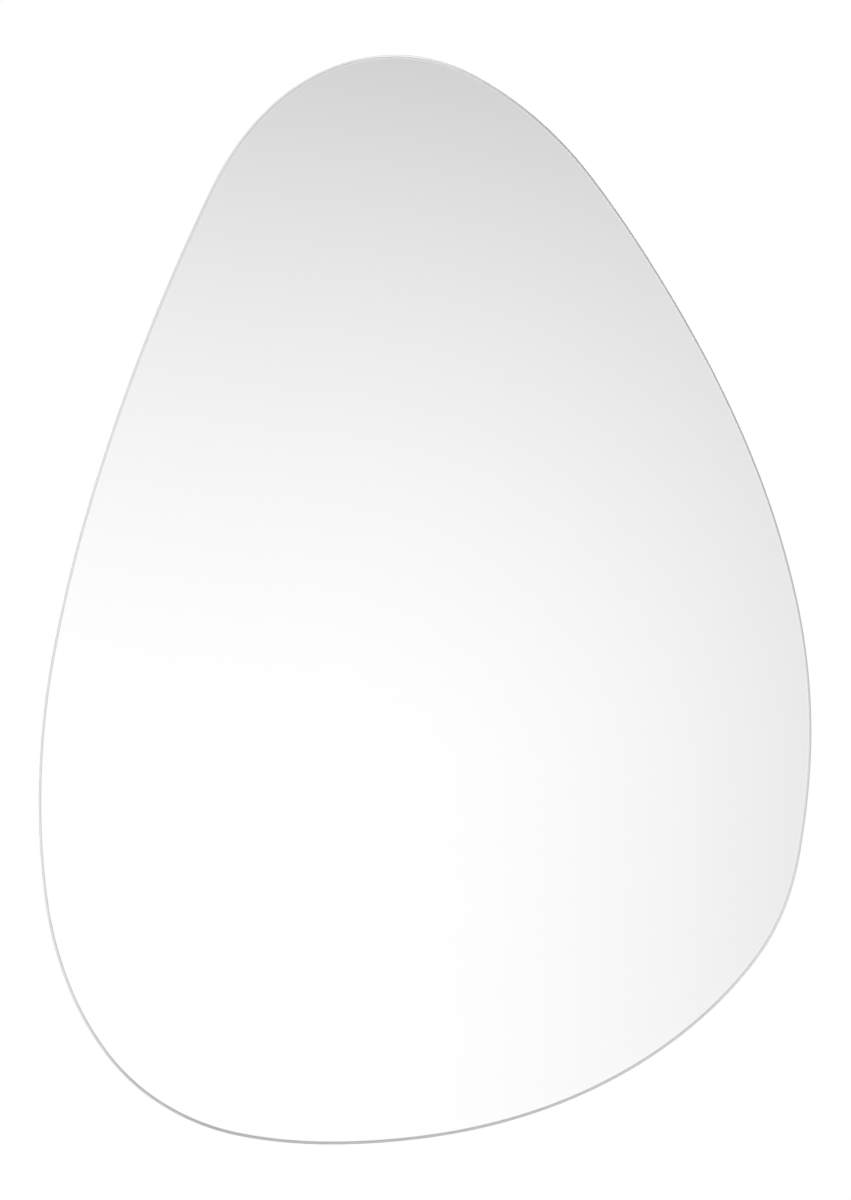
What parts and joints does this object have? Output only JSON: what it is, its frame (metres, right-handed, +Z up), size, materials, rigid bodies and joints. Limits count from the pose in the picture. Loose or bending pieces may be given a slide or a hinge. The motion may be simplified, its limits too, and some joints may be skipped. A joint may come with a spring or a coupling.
{
  "type": "irregular shaped mirror",
  "caption": "Frameless wall mirror with an irregular pebble outline and polished edge, bonded to a smaller back panel with keyhole hangers.",
  "frame": {"origin": "midway between the round entries of the two keyholes, on the wall plane, which is the rear face of the hangers and of the wall pads", "axes": "+Z up, +Y from the mirror into the wall, +X to the right for someone who looks into the mirror; X = 0 passes through the pane's centre of mass"},
  "size_m": [0.5, 0.0207, 0.705],
  "materials": {
    "clear_glass": "clear float glass, polished edge, faint green through its thickness",
    "silver": "bright silver",
    "backing_paint": "blue-grey protective paint on the back of the silver, slightly textured",
    "panel_paint": "moisture-resistant fibreboard, painted matt black",
    "foam_tape": "white closed-cell foam",
    "adhesive": "cured neutral silicone",
    "hanger_steel": "stamped steel, bright zinc plate",
    "screw_steel": "bright zinc plate",
    "felt": "pressed grey felt"
  },
  "bodies": {
    "root": {"glass_pane": "clear_glass", "silver_coating": "silver", "protective_paint": "backing_paint", "back_panel": "panel_paint", "foam_tape_1": "foam_tape", "foam_tape_2": "foam_tape", "foam_tape_3": "foam_tape", "foam_tape_4": "foam_tape", "adhesive_bead_1": "adhesive", "adhesive_bead_2": "adhesive", "adhesive_bead_3": "adhesive", "keyhole_hanger_left": "hanger_steel", "keyhole_hanger_right": "hanger_steel", "hanger_screws": "screw_steel", "wall_pad_upper_left": "felt", "wall_pad_upper_right": "felt", "wall_pad_lower_left": "felt", "wall_pad_lower_right": "felt"}
  },
  "joints": []
}
